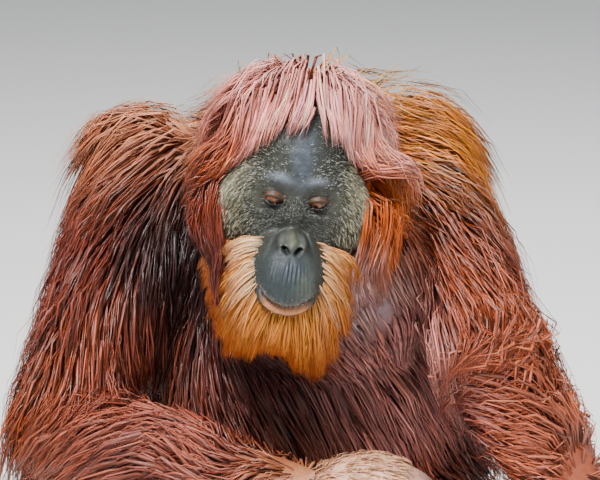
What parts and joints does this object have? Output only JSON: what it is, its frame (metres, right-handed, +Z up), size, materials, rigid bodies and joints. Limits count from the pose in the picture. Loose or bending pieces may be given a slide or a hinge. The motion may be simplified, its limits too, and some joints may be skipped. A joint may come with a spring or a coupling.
{
  "type": "seated orangutan model",
  "caption": "Life-size still model of an orangutan sitting on the floor, one hand laid across to its knee, with a long coat, beard and fringe as locks.",
  "frame": {"origin": "middle of the flat that the animal sits on, on the floor", "axes": "+Z up; the animal faces -Y, its own left is +X"},
  "size_m": [0.8493, 0.833, 0.8195],
  "materials": {
    "coat": "long glossy red-brown hair, salmon on the crown, orange-brown on the forearms, purple-brown on the chest",
    "beard": "golden-orange beard, cream at the lips, over a slate-grey chin",
    "head_skin": "slate-grey and olive-brown wrinkled bare skin with salmon-red hair round it",
    "skin": "dark grey creased skin of the hands, feet and ears",
    "eye": "wet dark brown",
    "nail": "dull dark horn"
  },
  "bodies": {
    "root": {"nail_hand_right_1": "nail", "nail_hand_right_2": "nail", "nail_hand_right_3": "nail", "nail_hand_right_4": "nail", "nail_hand_right_5": "nail", "nail_hand_left_1": "nail", "nail_hand_left_2": "nail", "nail_hand_left_3": "nail", "nail_hand_left_4": "nail", "nail_hand_left_5": "nail", "nail_foot_right_1": "nail", "nail_foot_right_2": "nail", "nail_foot_right_3": "nail", "nail_foot_right_4": "nail", "nail_foot_right_5": "nail", "nail_foot_left_1": "nail", "nail_foot_left_2": "nail", "nail_foot_left_3": "nail", "nail_foot_left_4": "nail", "nail_foot_left_5": "nail", "eye_right": "eye", "eye_left": "eye", "ear_right": "skin", "ear_left": "skin", "head": "head_skin", "jaw": "beard", "hand_right": "skin", "hand_left": "skin", "foot_right": "skin", "foot_left": "skin", "forearm_right": "coat", "forearm_left": "coat", "upper_arm_right": "coat", "upper_arm_left": "coat", "shin_right": "coat", "shin_left": "coat", "thigh_right": "coat", "thigh_left": "coat", "neck": "coat", "torso": "coat"}
  },
  "joints": []
}
